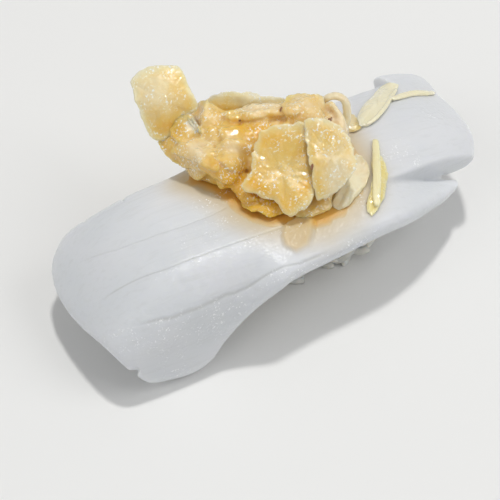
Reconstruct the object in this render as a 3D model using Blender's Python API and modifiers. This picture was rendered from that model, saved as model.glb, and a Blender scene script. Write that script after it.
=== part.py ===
"""Squid nigiri: a thick scored slice of raw squid laid over a hand-pressed block of rice, with a heap of
dressed relish shavings on it. Metres, +Z up, origin at the middle of the rice's flat underside, +X along
the slice, and -Y the side where a lobe of the slice hangs down."""

import math
import random

import bmesh
import bpy
from mathutils import Matrix, Vector, noise
from mathutils.bvhtree import BVHTree

MM = 0.001

# Gap that touching pieces keep.
GAP = 0.3 * MM

# Rice block, pressed by hand.
RICE_LENGTH = 46 * MM
RICE_WIDTH = 20.6 * MM
RICE_HEIGHT = 20 * MM
RICE_ROUNDING = 6.5 * MM
RICE_FOOT_SPREAD = 0.2
RICE_END_TAPER = 0.22
GRAIN_LENGTH = 7.0 * MM
GRAIN_WIDTH = 3.1 * MM
GRAIN_SPACING = 4.1 * MM
GRAIN_SEED = 11

# Slice of squid, as it would lie flat: its four sides as smooth curves. The ends give how far along they
# reach at a place across, the long sides how far across they reach at a place along. All in millimetres.
LEFT_END = ((-28.2, -37.4), (-19.5, -41.8), (-11.5, -45.8), (0, -48.9), (8, -48.4), (13.4, -45.6),
            (16.8, -41.8), (18.2, -37.4))
RIGHT_END = ((-12.8, 41.4), (-10.4, 43.2), (-6, 45.6), (-1, 47.6), (4, 48.2), (9, 48.6), (14.5, 49),
             (18.8, 45.6))
NEAR_SIDE = ((-37.4, -28.2), (-33.5, -30.9), (-28.5, -33.8), (-23.8, -34.4), (-20.8, -32), (-18.6, -27.6),
             (-16, -23.4), (-12, -21.2), (-5, -19.9), (4, -19.6), (14, -19.4), (25, -17.8), (33, -15.6),
             (41.4, -12.8))
FAR_SIDE = ((-37.4, 18.2), (-33.5, 17.1), (-29.5, 15.6), (-24, 14.8), (-17, 14.3), (-11, 14.8), (-4, 16.4),
            (10, 18.6), (31, 17.4), (35.5, 18.8), (45.6, 18.8))
SLICE_THICKNESS = 5.3 * MM
SLICE_EDGE_SHARE = 0.6
SLICE_THINNING = 6 * MM
SLICE_COLUMNS = 24
SLICE_ROWS = 10

# How the slice bends over the rice: where a bend starts from the middle, its radius and its full angle.
SLICE_TOP = 22.7 * MM
LEFT_BEND = (20 * MM, 30 * MM, math.radians(52))
RIGHT_BEND = (26 * MM, 34 * MM, math.radians(36))
FAR_BEND = (3 * MM, 24 * MM, math.radians(40))
NEAR_BEND = (9 * MM, 9 * MM, math.radians(14))
LOBE_BEND = (8 * MM, 8.5 * MM, math.radians(80))
LOBE_ENDS = (-21 * MM, -8 * MM)
SLICE_WAVES = 0.35 * MM

# Knife cuts, in the flat slice: places (along, across) that each passes, its width at both ends, its depth.
SCORES = (
    dict(path=((-41, 6.2), (-34, 2.8), (-27.6, 0.2), (-19, -1.0), (-8, -1.3)),
         widths=(0.7, 0.5), depth=0.45),
    dict(path=((-40, -4.6), (-33.5, -6.4), (-27, -8.1), (-14, -9.7), (-1, -10.9)),
         widths=(0.7, 0.5), depth=0.5),
    dict(path=((-38, -12.4), (-33, -14.8), (-27, -16.6), (-19, -17.2), (-11, -17.4)),
         widths=(0.7, 0.5), depth=0.5),
)
NEAR_CUT = dict(path=((13.5, -9.2), (52, -10.6)), widths=(0.3, 2.4), depth=9)
FAR_CUT = dict(path=((36.6, 11.0), (32.8, 20)), widths=(0.3, 1.0), depth=9)
NEAR_TONGUE_DROP = 8.0 * MM
FAR_CORNER_RISE = 2.3 * MM
CUT_LIP_DROP = 2.4 * MM
CUT_LIP_REACH = 4.0 * MM

# Relish heap: soft lumps, each with its centre and half sizes in millimetres and its number of flakes.
LUMPS = (
    ((-9.5, 15.4, 24.1), (3.8, 4.4, 3.0), 3),
    ((-5.0, 17.0, 25.7), (4.2, 4.0, 3.2), 2),
    ((-5.5, 9.5, 23.8), (7.0, 7.5, 4.8), 4),
    ((2.5, 7.8, 25.0), (8.0, 7.0, 5.4), 4),
    ((5.4, 9.4, 27.0), (4.6, 3.8, 3.2), 1),
    ((10.6, 7.0, 29.2), (4.6, 3.8, 3.4), 0),
    ((-0.5, -2.0, 22.8), (8.0, 8.0, 3.6), 0),
    ((9.5, -2.5, 23.2), (6.0, 6.5, 3.8), 0),
    ((12.0, 4.5, 25.4), (5.0, 5.0, 5.0), 3),
    ((-5.0, -4.5, 22.8), (4.5, 5.0, 1.5), 0),
    ((3.5, -8.6, 22.8), (6.5, 3.4, 1.6), 0),
)
FLAKE_SIZE = (7 * MM, 10 * MM)
FLAKE_THICKNESS = 1.1 * MM
FLAKE_SPACING = 4.6 * MM
FLAKE_SEED = 5
HEAP_DETAIL = 0.55 * MM
HEAP_TRIANGLES = 1700

# Larger shavings, each by the points its edge passes through and how far its middle bulges from them.
LEAVES = {
    "relish_slice_left": dict(
        edge=((-15.4, 27.7, 33.6), (-13.4, 28.3, 34.8), (-10.0, 27.2, 35.4), (-6.7, 25.0, 35.5),
              (-6.4, 21.6, 34.8), (-6.4, 18.0, 32.8), (-9.4, 17.3, 29.2), (-12.8, 17.2, 26.3),
              (-15.1, 18.2, 26.2), (-15.6, 22.0, 29.2), (-15.9, 25.4, 32.2)),
        bulge=(-0.4, -1.6, 1.5), thickness=1.2),
    "relish_slice_right": dict(
        edge=((8.4, 1.6, 33), (11.5, 0.7, 33), (15, -0.4, 31.8), (15.9, -3.8, 29.6), (14.3, -7, 27.6),
              (11.5, -9.6, 26), (5.8, -10.6, 25.6), (0.5, -11.3, 25.7), (3.4, -9.2, 28.6), (5.6, -4.8, 31.2)),
        bulge=(0.8, -1.2, 1.5), thickness=1.2),
    "relish_slice_front": dict(
        edge=((1.6, 4.8, 31.6), (5, 3.2, 32.4), (8, 1.4, 32.2), (6.6, -4, 30), (4.4, -8.6, 27.6),
              (0, -11.3, 26), (-3.6, -11.6, 25.2), (-5.2, -8, 26), (-8.2, -2.2, 26.6), (-6.6, 0.2, 28.6),
              (-2.6, 2.6, 31)),
        bulge=(0.6, 0.7, -0.9), thickness=1.3),
    "relish_slice_back": dict(
        edge=((-3.5, 18.5, 29.8), (-2.0, 18.3, 31.2), (1.2, 16.4, 31.9), (4.4, 13.4, 31.9), (7.6, 10.6, 31.4),
              (8.5, 9.8, 29.6), (6.4, 11.8, 27.2), (3.0, 14.6, 26.4), (-1.0, 17.4, 26.6)),
        bulge=(0.3, -0.6, 0.5), thickness=0.9),
}

# Shavings that lie on the slice: each by its path over it, its widths on the way and its thickness.
SHREDS = {
    "relish_slice_flat": dict(path=((16.8, -4.9), (15.6, -7.6), (11.8, -10), (7, -11.4)),
                              widths=(3.0, 5.0, 5.4, 3.2), thickness=0.9, seed=2),
    "ginger_shred": dict(path=((22.4, -1.0), (20.4, -5.6), (17.6, -10.4), (13.6, -14.8)),
                         widths=(1.6, 2.8, 3.2, 1.2), thickness=1.3, seed=4),
    "pale_shred_wide": dict(path=((36.8, 13.6), (33.2, 11.8), (28.4, 7.8), (23.4, 4.2)),
                            widths=(1.6, 4.4, 4.4, 2.6), thickness=0.9, seed=6),
    "pale_shred_thin": dict(path=((34.6, 8.4), (37.8, 8.7), (41.2, 9.7), (44.5, 9.5)),
                            widths=(1.2, 1.2, 1.4, 1.2), thickness=1.0, seed=9),
}

# Strand that arches up at the back right of the heap, in millimetres.
ARCH = ((14.4, 7.6, 28.0), (15.3, 7.4, 30.0), (16.3, 6.8, 31.2), (17.5, 6.0, 31.6), (18.7, 5.0, 30.6),
        (18.7, 3.9, 28.4), (17.7, 2.9, 25.8), (16.4, 2.0, 24.4))
ARCH_RADIUS = 0.85 * MM

# Colour and roughness of each piece.
LOOKS = {
    "squid_slice": ((0.60, 0.63, 0.66), 0.25),
    "rice": ((0.80, 0.77, 0.68), 0.45),
    "relish_heap": ((0.72, 0.43, 0.14), 0.30),
    "relish_slice_left": ((0.76, 0.53, 0.28), 0.30),
    "relish_slice_right": ((0.78, 0.52, 0.30), 0.30),
    "relish_slice_front": ((0.76, 0.48, 0.20), 0.30),
    "relish_slice_back": ((0.72, 0.46, 0.18), 0.30),
    "relish_arch": ((0.78, 0.55, 0.32), 0.30),
    "relish_slice_flat": ((0.80, 0.64, 0.44), 0.30),
    "ginger_shred": ((0.84, 0.74, 0.36), 0.30),
    "pale_shred_wide": ((0.78, 0.74, 0.56), 0.30),
    "pale_shred_thin": ((0.80, 0.72, 0.46), 0.30),
}


def clear_scene():
    for obj in list(bpy.data.objects):
        bpy.data.objects.remove(obj, do_unlink=True)


def new_collection(name):
    collection = bpy.data.collections.new(name)
    bpy.context.scene.collection.children.link(collection)
    return collection


def material(name, colour, roughness):
    made = bpy.data.materials.new(name)
    made.use_nodes = True
    shader = made.node_tree.nodes["Principled BSDF"]
    shader.inputs["Base Color"].default_value = (*colour, 1.0)
    shader.inputs["Roughness"].default_value = roughness
    shader.inputs["Metallic"].default_value = 0.0
    return made


def take_new(name, collection):
    """Names the object that a primitive has just made, and moves it to its collection."""
    obj = bpy.context.active_object
    obj.name = name
    for other in list(obj.users_collection):
        other.objects.unlink(obj)
    collection.objects.link(obj)
    return obj


def new_grid(name, columns, rows, collection):
    """A flat grid of cells whose points run 0 to 1 both ways, ready to be moved."""
    bpy.ops.mesh.primitive_grid_add(x_subdivisions=columns, y_subdivisions=rows, size=1, location=(0, 0, 0))
    obj = take_new(name, collection)
    for vertex in obj.data.vertices:
        vertex.co += Vector((0.5, 0.5, 0.0))
    return obj


def new_ball(name, segments, rings, collection):
    bpy.ops.mesh.primitive_uv_sphere_add(segments=segments, ring_count=rings, radius=1, location=(0, 0, 0))
    return take_new(name, collection)


def new_block(name, collection):
    bpy.ops.mesh.primitive_cube_add(size=1, location=(0, 0, 0))
    return take_new(name, collection)


def smooth_step(low, high, value):
    t = min(1.0, max(0.0, (value - low) / (high - low)))
    return t * t * (3 - 2 * t)


def mix(a, b, share):
    return a + (b - a) * share


def along_curve(points, key):
    """Second number of a smooth curve through the points, at the first number key."""
    last = len(points) - 1
    index = max(i for i in range(last) if key >= points[i][0] or i == 0)

    def slope(i):
        low, high = points[max(0, i - 1)], points[min(last, i + 1)]
        return (high[1] - low[1]) / (high[0] - low[0])

    (start, first), (end, second) = points[index], points[index + 1]
    span = end - start
    t = (key - start) / span
    return (
        first * (2 * t**3 - 3 * t**2 + 1)
        + span * slope(index) * (t**3 - 2 * t**2 + t)
        + second * (3 * t**2 - 2 * t**3)
        + span * slope(index + 1) * (t**3 - t**2)
    )


def between(before, start, end, after, t):
    """Point of a smooth curve between start and end, given the points before and after them."""
    return 0.5 * (
        2 * start
        + (end - before) * t
        + (2 * before - 5 * start + 4 * end - after) * t**2
        + (3 * start - before - 3 * end + after) * t**3
    )


def smooth_path(points, share):
    """Point of an open smooth curve through the points, at a share of its length from 0 to 1."""
    last = len(points) - 1
    index = min(last - 1, int(share * last))
    ends = [points[min(last, max(0, i))] for i in range(index - 1, index + 3)]
    return between(*ends, share * last - index)


def smooth_loop(points, count):
    """Points spread evenly round a closed smooth curve."""
    total = len(points)
    loop = []
    for step in range(count):
        place = step * total / count
        index = int(place)
        ends = [points[(index + i) % total] for i in range(-1, 3)]
        loop.append(between(*ends, place - index))
    return loop


def thicken(obj, thickness, offset, weights=None):
    """Gives a sheet its thickness. Weights, if given, is each point's share of it."""
    shell = obj.modifiers.new("Thickness", "SOLIDIFY")
    shell.thickness = thickness
    shell.offset = offset
    if weights:
        group = obj.vertex_groups.new(name="thickness")
        for index, weight in enumerate(weights):
            group.add([index], weight, "REPLACE")
        shell.vertex_group = "thickness"


def apply_modifiers(obj):
    bpy.context.view_layer.update()
    graph = bpy.context.evaluated_depsgraph_get()
    mesh = bpy.data.meshes.new_from_object(obj.evaluated_get(graph))
    obj.modifiers.clear()
    obj.data = mesh
    obj.vertex_groups.clear()


def hide_helper(obj):
    obj.hide_render = True
    obj.display_type = "WIRE"


def cut_with(obj, cutters):
    for cutter in cutters:
        step = obj.modifiers.new("Cut", "BOOLEAN")
        step.operation = "DIFFERENCE"
        step.solver = "EXACT"
        step.object = cutter
    apply_modifiers(obj)


def fuse(obj, collection):
    """Joins all that the collection holds to obj, then removes what it held."""
    step = obj.modifiers.new("Fuse", "BOOLEAN")
    step.operation = "UNION"
    step.solver = "EXACT"
    step.operand_type = "COLLECTION"
    step.collection = collection
    apply_modifiers(obj)
    for piece in list(collection.objects):
        bpy.data.objects.remove(piece, do_unlink=True)
    bpy.data.collections.remove(collection)


def swollen(obj, by, cutters):
    """A cutter: a copy of obj, grown by this much all over."""
    cutter = bpy.data.objects.new(obj.name + "_swollen", obj.data.copy())
    cutters.objects.link(cutter)
    hide_helper(cutter)
    grow = cutter.modifiers.new("Grow", "DISPLACE")
    grow.strength = by
    grow.mid_level = 0.0
    apply_modifiers(cutter)
    return cutter


def near_each_other(first, second):
    """Whether the boxes of two objects, both at the origin, come within a millimetre."""
    for axis in range(3):
        a = [vertex.co[axis] for vertex in first.data.vertices]
        b = [vertex.co[axis] for vertex in second.data.vertices]
        if min(a) > max(b) + MM or min(b) > max(a) + MM:
            return False
    return True


def keep_largest_body(obj):
    """Drops the loose scraps that a cut leaves, and fills the hollows that a join encloses."""
    mesh = obj.data
    links = [[] for _ in mesh.vertices]
    for edge in mesh.edges:
        a, b = edge.vertices
        links[a].append(b)
        links[b].append(a)
    body = [-1] * len(links)
    sizes = []
    for start in range(len(links)):
        if body[start] >= 0:
            continue
        body[start] = len(sizes)
        waiting = [start]
        found = 0
        while waiting:
            here = waiting.pop()
            found += 1
            for other in links[here]:
                if body[other] < 0:
                    body[other] = len(sizes)
                    waiting.append(other)
        sizes.append(found)
    if len(sizes) == 1:
        return
    largest = sizes.index(max(sizes))
    bpy.ops.object.select_all(action="DESELECT")
    bpy.context.view_layer.objects.active = obj
    obj.select_set(True)
    bpy.ops.object.mode_set(mode="EDIT")
    bpy.ops.mesh.select_mode(type="VERT")
    bpy.ops.mesh.select_all(action="DESELECT")
    bpy.ops.object.mode_set(mode="OBJECT")
    for vertex in obj.data.vertices:
        vertex.select = body[vertex.index] != largest
    bpy.ops.object.mode_set(mode="EDIT")
    bpy.ops.mesh.delete(type="VERT")
    bpy.ops.object.mode_set(mode="OBJECT")


def finish(obj):
    """Gives a piece its own material, and shades its round parts smooth."""
    obj.data.materials.clear()
    obj.data.materials.append(material(obj.name, *LOOKS[obj.name]))
    obj.data.shade_smooth()
    obj.data.set_sharp_from_angle(angle=math.radians(50))


# The slice is shaped flat, cut, and then draped.

def flat_point(u, v):
    """Point of the flat slice's outline, a patch between its four sides, u along and v across, 0 to 1."""
    left_across = mix(LEFT_END[0][0], LEFT_END[-1][0], v)
    right_across = mix(RIGHT_END[0][0], RIGHT_END[-1][0], v)
    left = Vector((along_curve(LEFT_END, left_across), left_across))
    right = Vector((along_curve(RIGHT_END, right_across), right_across))
    point = left.lerp(right, u)
    for side, share in ((NEAR_SIDE, 1 - v), (FAR_SIDE, v)):
        straight = mix(side[0][1], side[-1][1], u)
        point.y += share * (along_curve(side, mix(side[0][0], side[-1][0], u)) - straight)
    return point * MM


def bend(length, start, radius, most):
    """How far out and down a strip gets after this length: level first, then an arc, then straight."""
    arc = min(most, max(0.0, (length - start) / radius))
    rest = max(0.0, length - start - radius * most)
    out = min(length, start) + radius * math.sin(arc) + rest * math.cos(most)
    down = radius * (1 - math.cos(arc)) + rest * math.sin(most)
    return out, down


def beside(cut, point):
    """How far a flat point lies to the left of a straight cut, seen from the cut's start to its end."""
    start, end = (Vector(point) * MM for point in cut["path"])
    run = (end - start).normalized()
    off = Vector(point) - start
    return run.x * off.y - run.y * off.x


def cut_shift(along, across):
    """How far the parts of the slice beside the two deep cuts stand up or down."""
    near = beside(NEAR_CUT, (along, across))
    far = beside(FAR_CUT, (along, across))
    start = NEAR_CUT["path"][0][0] * MM
    opened = smooth_step(start, 37 * MM, along)
    shift = -CUT_LIP_DROP * smooth_step(start, 27 * MM, along) * math.exp(-((near / CUT_LIP_REACH) ** 2))
    if near < 0:
        shift -= (NEAR_TONGUE_DROP - CUT_LIP_DROP) * opened
    if far < 0:
        shift += FAR_CORNER_RISE * smooth_step(10 * MM, 17 * MM, across) * mix(0.7, 1.0, opened)
    return shift


def draped(along, across, depth, shift):
    """Where a point of the flat slice comes to lie, this deep below its upper face, moved by the shift."""
    def upper(a, b):
        lobe = 1 - smooth_step(*LOBE_ENDS, a)
        near = [mix(level, hung, lobe) for level, hung in zip(NEAR_BEND, LOBE_BEND)]
        x, x_down = bend(abs(a), *(LEFT_BEND if a < 0 else RIGHT_BEND))
        y, y_down = bend(abs(b), *(near if b < 0 else FAR_BEND))
        wave = SLICE_WAVES * noise.noise(Vector((a, b, 0.0)) * 95)
        return Vector((math.copysign(x, a), math.copysign(y, b), SLICE_TOP - x_down - y_down + wave))

    step = 0.5 * MM
    forward = upper(along + step, across) - upper(along - step, across)
    sideways = upper(along, across + step) - upper(along, across - step)
    up = forward.cross(sideways).normalized()
    return upper(along, across) + up * (shift - depth)


def knife(name, cut, cutters):
    """A blade that stands in the flat slice: as wide as the cut on top and narrower at its foot."""
    blade = new_grid(name, 16, 1, cutters)
    places = [Vector((*point, 0)) * MM for point in cut["path"]]
    foot_share = 0.15 if cut["depth"] < 2 else 0.6
    widest = max(cut["widths"])
    weights = []
    for vertex in blade.data.vertices:
        share, level = vertex.co.x, vertex.co.y
        weights.append(mix(*cut["widths"], share) / widest * mix(foot_share, 1.0, level))
        vertex.co = smooth_path(places, share)
        vertex.co.z = mix(-cut["depth"], 0.05, level) * MM
    thicken(blade, widest * MM, 0.0, weights)
    apply_modifiers(blade)
    hide_helper(blade)
    return blade


def build_slice(parts, cutters):
    slab = new_grid("squid_slice", SLICE_COLUMNS, SLICE_ROWS, parts)
    weights = []
    for vertex in slab.data.vertices:
        u, v = vertex.co.x, vertex.co.y
        inside = min(u * 85, (1 - u) * 85, (1 - v) * 36) * MM
        weights.append(mix(SLICE_EDGE_SHARE, 1.0, smooth_step(0.0, SLICE_THINNING, inside)))
        vertex.co = flat_point(u, v).to_3d()
    thicken(slab, SLICE_THICKNESS, -1.0, weights)
    rounding = slab.modifiers.new("Rounding", "SUBSURF")
    rounding.levels = 1
    rounding.render_levels = 1
    apply_modifiers(slab)
    blades = [knife(f"score_{i}", cut, cutters) for i, cut in enumerate(SCORES)]
    blades += [knife("near_cut", NEAR_CUT, cutters), knife("far_cut", FAR_CUT, cutters)]
    cut_with(slab, blades)
    for vertex in slab.data.vertices:
        x, y, z = vertex.co
        vertex.co = draped(x, y, -z, cut_shift(x, y))
    finish(slab)


def slice_mould(name, high, low, choose, cutters):
    """A cutter that follows the slice, from this high over its upper face to this low under it. Choose is
    max or min, and says which side of a deep cut it follows."""
    mould = new_grid(name, SLICE_COLUMNS, SLICE_ROWS, cutters)
    for vertex in mould.data.vertices:
        vertex.co = flat_point(vertex.co.x, vertex.co.y).to_3d()
    thicken(mould, high + low, -1.0)
    apply_modifiers(mould)
    reach = 2.2 * MM
    for vertex in mould.data.vertices:
        x, y, z = vertex.co
        shift = choose(cut_shift(x + a * reach, y + b * reach) for a in (-1, 0, 1) for b in (-1, 0, 1))
        vertex.co = draped(x, y, -z - high, shift)
    hide_helper(mould)
    return mould


def rice_core(parts):
    core = new_block("rice", parts)
    for vertex in core.data.vertices:
        x, y, z = vertex.co
        vertex.co = Vector((x * RICE_LENGTH, y * RICE_WIDTH, (z + 0.5) * RICE_HEIGHT))
    rounding = core.modifiers.new("Rounding", "BEVEL")
    rounding.width = RICE_ROUNDING
    rounding.segments = 4
    apply_modifiers(core)
    for vertex in core.data.vertices:
        out_x, out_y = 2 * vertex.co.x / RICE_LENGTH, 2 * vertex.co.y / RICE_WIDTH
        low = max(0.0, 1 - vertex.co.z / RICE_ROUNDING) * RICE_FOOT_SPREAD * RICE_ROUNDING
        vertex.co.x += low * out_x
        vertex.co.y = (vertex.co.y + low * out_y) * (1 - RICE_END_TAPER * abs(out_x) ** 3)
    return core


def surface_spots(obj, spacing, seed, wanted):
    """Points spread over a mesh at least this far apart, each with the face's normal there."""
    picker = random.Random(seed)
    mesh = obj.data
    mesh.calc_loop_triangles()
    triangles = [t for t in mesh.loop_triangles if wanted(t.normal)]
    areas = [t.area for t in triangles]
    spots = []
    for _ in range(7000):
        triangle = picker.choices(triangles, areas)[0]
        a, b, c = (mesh.vertices[i].co for i in triangle.vertices)
        r, s = math.sqrt(picker.random()), picker.random()
        point = a * (1 - r) + b * (r * (1 - s)) + c * (r * s)
        if all((point - other).length > spacing for other, _ in spots):
            spots.append((point, triangle.normal.copy()))
    return spots


def grain(number, place, normal, picker, collection):
    """One cooked grain, with few sides, lying roughly along the surface."""
    obj = new_ball(f"grain_{number}", 5, 4, collection)
    length = GRAIN_LENGTH * picker.uniform(0.88, 1.08)
    width = GRAIN_WIDTH * picker.uniform(0.95, 1.12)
    angle = picker.uniform(0, math.tau)
    aside = normal.orthogonal().normalized()
    heading = aside * math.cos(angle) + normal.cross(aside) * math.sin(angle)
    heading = (heading + normal * picker.uniform(-0.30, 0.30)).normalized()
    turn = heading.to_track_quat("Z", "Y").to_matrix().to_4x4()
    size = Matrix.Diagonal((width / 2 * 1.1, width / 2 * 1.1, length / 2, 1.0))
    obj.data.transform(Matrix.Translation(place) @ turn @ size)
    return obj


def build_rice(parts, cutters):
    core = rice_core(parts)
    picker = random.Random(GRAIN_SEED)
    grains = new_collection("grains")
    spots = surface_spots(core, GRAIN_SPACING, GRAIN_SEED, lambda normal: abs(normal.z) < 0.8)
    for number, (point, normal) in enumerate(spots):
        if point.z > 1.2 * MM:
            grain(number, point - normal * 0.5 * MM, normal, picker, grains)
    fuse(core, grains)
    board = new_block("board", cutters)
    board.data.transform(Matrix.Translation((0, 0, -0.1)) @ Matrix.Diagonal((0.2, 0.2, 0.2, 1.0)))
    hide_helper(board)
    under_slice = slice_mould("under_slice", 6 * MM, SLICE_THICKNESS + GAP, min, cutters)
    cut_with(core, [under_slice, board])
    keep_largest_body(core)
    finish(core)


def leaf(name, edge, bulge, thickness, collection, count=16, rings=3):
    """A thin bent shaving: rings from its edge in to its middle, given thickness."""
    loop = smooth_loop([Vector(point) * MM for point in edge], count)
    middle = sum(loop, Vector()) / count
    raised = Vector(bulge) * MM
    points = []
    for ring in range(rings):
        t = 1 - ring / rings
        for place in loop:
            rough = 0.25 * MM * noise.noise(place * 300 + Vector((t, t, t)))
            points.append(middle + (place - middle) * t + raised * (1 - t * t) + raised.normalized() * rough)
    points.append(middle + raised)
    faces = []
    for ring in range(rings - 1):
        for i in range(count):
            j = (i + 1) % count
            low, high = ring * count, (ring + 1) * count
            faces.append((low + i, low + j, high + j, high + i))
    inner = (rings - 1) * count
    faces += [(inner + i, inner + (i + 1) % count, rings * count) for i in range(count)]
    mesh = bpy.data.meshes.new(name)
    mesh.from_pydata([tuple(point) for point in points], [], faces)
    obj = bpy.data.objects.new(name, mesh)
    collection.objects.link(obj)
    thicken(obj, thickness * MM, 0.0)
    apply_modifiers(obj)
    return obj


def height_over(tree, place):
    hit = tree.ray_cast(Vector((place.x, place.y, 0.1)), Vector((0, 0, -1)))[0]
    return hit.z if hit else tree.find_nearest(Vector((place.x, place.y, SLICE_TOP)))[0].z


def shred(name, path, widths, thickness, seed, slice_tree, collection):
    """A shaving that lies along a path on the slice, just above it."""
    strip = new_grid(name, 9, 2, collection)
    places = [Vector((*point, 0)) * MM for point in path]
    for vertex in strip.data.vertices:
        share, side = vertex.co.x, vertex.co.y - 0.5
        here = smooth_path(places, share)
        run = smooth_path(places, min(1.0, share + 0.02)) - smooth_path(places, max(0.0, share - 0.02))
        aside = Vector((-run.y, run.x, 0)).normalized()
        rounded = math.sqrt(max(0.0, 1 - abs(2 * share - 1) ** 7))
        width = smooth_path([Vector((w, 0, 0)) for w in widths], share).x * MM * mix(0.45, 1.0, rounded)
        flat = here + aside * side * width
        level = max(height_over(slice_tree, flat), height_over(slice_tree, here))
        curl = 0.35 * MM * noise.noise(Vector((share * 3, seed, 0)))
        vertex.co = Vector((flat.x, flat.y, level + thickness * MM * 0.5 + abs(curl)))
    thicken(strip, thickness * MM, 0.0)
    apply_modifiers(strip)
    return strip


def arch(collection):
    curve = bpy.data.curves.new("relish_arch", "CURVE")
    curve.dimensions = "3D"
    curve.bevel_depth = ARCH_RADIUS
    curve.bevel_resolution = 1
    curve.use_fill_caps = True
    line = curve.splines.new("POLY")
    places = [Vector(point) * MM for point in ARCH]
    line.points.add(11)
    for number, point in enumerate(line.points):
        point.co = (*smooth_path(places, number / 11), 1.0)
        point.radius = mix(0.8, 1.0, math.sin(math.pi * number / 11))
    obj = bpy.data.objects.new("arch_line", curve)
    collection.objects.link(obj)
    bpy.context.view_layer.update()
    mesh = bpy.data.meshes.new_from_object(obj.evaluated_get(bpy.context.evaluated_depsgraph_get()))
    bpy.data.objects.remove(obj, do_unlink=True)
    made = bpy.data.objects.new("relish_arch", mesh)
    collection.objects.link(made)
    weld = made.modifiers.new("Weld", "WELD")
    weld.merge_threshold = 0.00001
    apply_modifiers(made)
    return made


def heap_flake(number, place, normal, picker, collection):
    """A small bent shaving that lies against the heap, as part of it."""
    aside = normal.orthogonal().normalized()
    angle = picker.uniform(0, math.tau)
    first = aside * math.cos(angle) + normal.cross(aside) * math.sin(angle)
    normal = Matrix.Rotation(math.radians(picker.uniform(-22, 22)), 3, first) @ normal
    second = normal.cross(first)
    length = picker.uniform(*FLAKE_SIZE)
    width = length * picker.uniform(0.55, 0.85)
    edge = []
    for step in range(7):
        turn = math.tau * step / 7
        reach = picker.uniform(0.8, 1.15) / 2
        point = place + first * math.cos(turn) * length * reach + second * math.sin(turn) * width * reach
        edge.append((point + normal * picker.uniform(-0.7, 0.5) * MM) / MM)
    bulge = normal * picker.uniform(0.5, 1.4)
    return leaf(f"flake_{number}", edge, bulge, FLAKE_THICKNESS / MM, collection, 9, 2)


def lump_spots():
    """Places for flakes on the lumps, apart from each other and outside every other lump."""
    picker = random.Random(FLAKE_SEED)
    spots = []
    for own, (middle, half, wanted) in enumerate(LUMPS):
        found = 0
        for _ in range(200):
            way = Vector((picker.uniform(-1, 1), picker.uniform(-1, 1), picker.uniform(-0.1, 1))).normalized()
            place = Vector(middle) + way * Vector(half)
            normal = Vector((way.x / half[0], way.y / half[1], way.z / half[2])).normalized()
            buried = any(
                sum(((place[i] - other[i]) / size[i]) ** 2 for i in range(3)) < 0.95
                for number, (other, size, _) in enumerate(LUMPS) if number != own
            )
            crowded = any((place * MM - earlier).length < FLAKE_SPACING for earlier, _ in spots)
            if found < wanted and not buried and not crowded:
                spots.append((place * MM, normal))
                found += 1
    return spots


def build_heap(parts, blocks):
    """The heap: soft lumps and flakes melted into one body, then cut back by each of the blocks."""
    pieces = new_collection("heap_pieces")
    for number, (middle, half, _) in enumerate(LUMPS):
        lump = new_ball(f"lump_{number}", 16, 10, pieces)
        size = Matrix.Diagonal((*Vector(half) * MM, 1.0))
        lump.data.transform(Matrix.Translation(Vector(middle) * MM) @ size)
    picker = random.Random(FLAKE_SEED)
    for number, (place, normal) in enumerate(lump_spots()):
        heap_flake(number, place + normal * 0.2 * MM, normal, picker, pieces)
    together = bmesh.new()
    for piece in list(pieces.objects):
        together.from_mesh(piece.data)
        bpy.data.objects.remove(piece, do_unlink=True)
    bpy.data.collections.remove(pieces)
    mesh = bpy.data.meshes.new("relish_heap")
    together.to_mesh(mesh)
    together.free()
    heap = bpy.data.objects.new("relish_heap", mesh)
    parts.objects.link(heap)
    melt = heap.modifiers.new("Melt", "REMESH")
    melt.mode = "VOXEL"
    melt.voxel_size = HEAP_DETAIL
    apply_modifiers(heap)
    thin = heap.modifiers.new("Thin", "DECIMATE")
    thin.ratio = HEAP_TRIANGLES / (2 * len(heap.data.polygons))
    apply_modifiers(heap)
    cut_with(heap, blocks)
    keep_largest_body(heap)
    finish(heap)


def main():
    clear_scene()
    parts = new_collection("squid_nigiri")
    cutters = new_collection("cutters")
    build_slice(parts, cutters)
    build_rice(parts, cutters)
    over_slice = slice_mould("over_slice", GAP, 3 * MM, max, cutters)
    bpy.context.view_layer.update()
    tree = BVHTree.FromObject(over_slice, bpy.context.evaluated_depsgraph_get())

    loose = [leaf(name, collection=parts, **shape) for name, shape in LEAVES.items()]
    loose.append(arch(parts))
    loose += [shred(name, slice_tree=tree, collection=parts, **shape) for name, shape in SHREDS.items()]
    blocks = [over_slice]
    for piece in loose:
        cut_with(piece, [block for block in blocks if near_each_other(piece, block)])
        keep_largest_body(piece)
        finish(piece)
        blocks.append(swollen(piece, GAP, cutters))
    build_heap(parts, blocks)

    for obj in parts.objects:
        obj.data.calc_loop_triangles()
        print(obj.name, len(obj.data.loop_triangles), "triangles")


main()
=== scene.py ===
import math
import random

import bpy
from mathutils import Matrix, Vector, noise
from mathutils.bvhtree import BVHTree
from mathutils.kdtree import KDTree


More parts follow.
